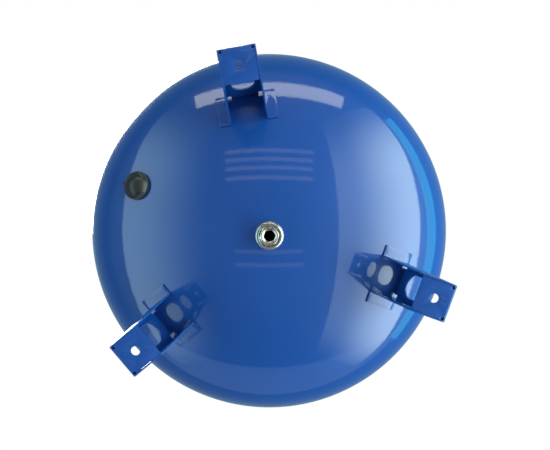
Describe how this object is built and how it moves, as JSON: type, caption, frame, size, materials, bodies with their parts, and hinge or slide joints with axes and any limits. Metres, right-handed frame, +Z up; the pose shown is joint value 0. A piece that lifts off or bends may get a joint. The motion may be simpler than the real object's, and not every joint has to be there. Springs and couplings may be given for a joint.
{
  "type": "expansion vessel",
  "caption": "Floor-standing diaphragm expansion vessel: dished steel shell on pressed legs, threaded water stub below, gas valve under a pull-off cap.",
  "frame": {"origin": "on the vessel axis at floor level, under the middle of the shell", "axes": "+Z up along the vessel axis, front leg towards -Y, gas valve at azimuth 210 degrees on the lower head"},
  "size_m": [0.4836, 0.4836, 0.6127],
  "materials": {
    "shell_paint": "glossy",
    "weld_paint": "glossy",
    "leg_paint": "glossy",
    "plate_metal": "satin",
    "stub_steel": "satin",
    "sleeve_steel": "satin",
    "boss_steel": "satin",
    "pin_steel": "polished",
    "valve_brass": "satin",
    "butyl_rubber": "matte",
    "seal_rubber": "matte",
    "black_plastic": "matte",
    "cap_plastic": "satin"
  },
  "bodies": {
    "vessel": {"lower_head": "shell_paint", "shell_cylinder": "shell_paint", "upper_head": "shell_paint", "lower_girth_weld": "weld_paint", "upper_girth_weld": "weld_paint", "seam_weld": "weld_paint", "leg_front": "leg_paint", "leg_rear_right": "leg_paint", "leg_rear_left": "leg_paint", "rating_plate": "plate_metal", "connection_collar": "stub_steel", "connection_nipple": "stub_steel", "clamping_sleeve": "sleeve_steel", "sleeve_nut": "sleeve_steel", "bladder_clamp_ring": "sleeve_steel", "bladder": "butyl_rubber", "gas_valve_boss": "boss_steel", "valve_collar": "black_plastic", "valve_stem": "valve_brass", "valve_gasket": "seal_rubber", "valve_core_body": "valve_brass", "valve_core_spring": "pin_steel"},
    "core_pin": {"valve_core_pin": "pin_steel", "valve_core_seal": "seal_rubber"},
    "cap_washer": {"dust_cap_washer": "seal_rubber"},
    "dust_cap": {"dust_cap": "black_plastic"},
    "valve_cap": {"valve_cap": "cap_plastic"}
  },
  "joints": [
    {"name": "valve_cap_pull", "type": "slide", "parent": "vessel", "child": "valve_cap", "axis": [-0.4066, -0.2347, -0.8829], "range_m": [0, 0.045]},
    {"name": "dust_cap_lift", "type": "slide", "parent": "vessel", "child": "cap_washer", "axis": [-0.4066, -0.2347, -0.8829], "range_m": [0, 0.0034]},
    {"name": "dust_cap_turn", "type": "hinge", "parent": "cap_washer", "child": "dust_cap", "pos_m": [-0.15612, -0.09014, 0.12135], "axis": [-0.4066, -0.2347, -0.8829], "range_deg": [0, 1543]},
    {"name": "core_pin_press", "type": "slide", "parent": "vessel", "child": "core_pin", "axis": [0.4066, 0.2347, 0.8829], "range_m": [0, 0.0015], "stiffness_N_per_m": 800, "springref_m": -0.0015, "deforming": ["valve_core_spring"]}
  ],
  "couplings": [
    {"joint": "dust_cap_turn", "follows": "dust_cap_lift", "rad_per_m": 7913.3}
  ]
}
